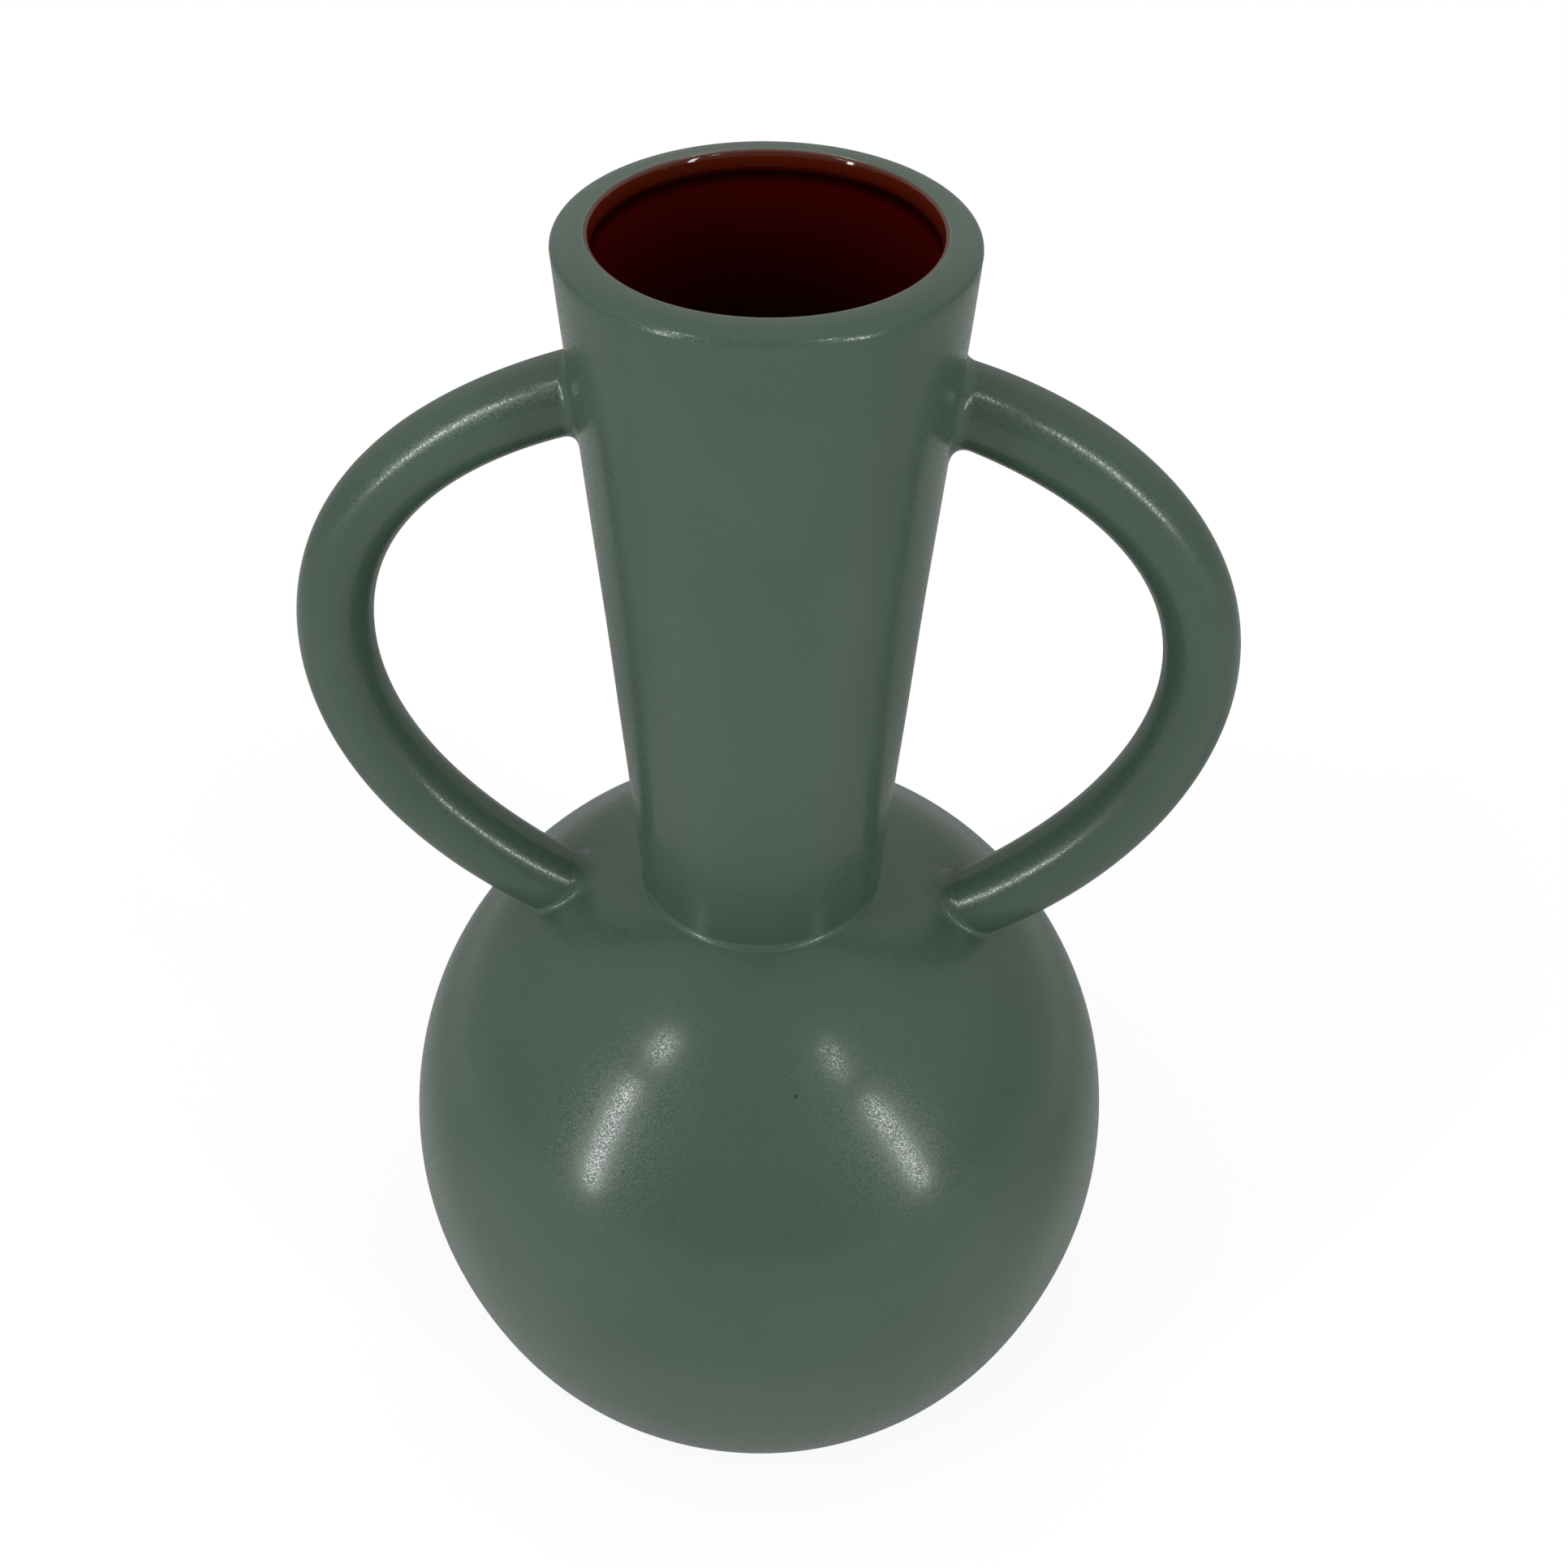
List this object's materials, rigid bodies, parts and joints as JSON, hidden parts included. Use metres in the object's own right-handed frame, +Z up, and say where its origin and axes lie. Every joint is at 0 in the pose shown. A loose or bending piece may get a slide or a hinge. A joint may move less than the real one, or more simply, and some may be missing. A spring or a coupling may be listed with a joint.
{
  "type": "two-handled vase",
  "caption": "Globe-bodied stoneware vase with a straight tapered neck, two round loop handles, satin green glaze outside and glossy oxblood glaze inside.",
  "frame": {"origin": "centre of the foot ring's standing face, on the axis of the neck", "axes": "+Z up along the neck's axis, +X towards the right handle as seen from the front, -Y towards the viewer"},
  "size_m": [0.1848, 0.1626, 0.3],
  "materials": {
    "green_glaze": "satin",
    "red_glaze": "gloss",
    "bare_clay": "matt"
  },
  "bodies": {
    "root": {"foot_ring": "bare_clay", "globe_bowl": "green_glaze", "globe_dome": "green_glaze", "neck_tube": "green_glaze", "neck_joint_coil": "green_glaze", "inner_glaze": "red_glaze", "handle_right": "green_glaze", "handle_right_upper_coil": "green_glaze", "handle_right_lower_coil": "green_glaze", "handle_left": "green_glaze", "handle_left_upper_coil": "green_glaze", "handle_left_lower_coil": "green_glaze"}
  },
  "joints": []
}
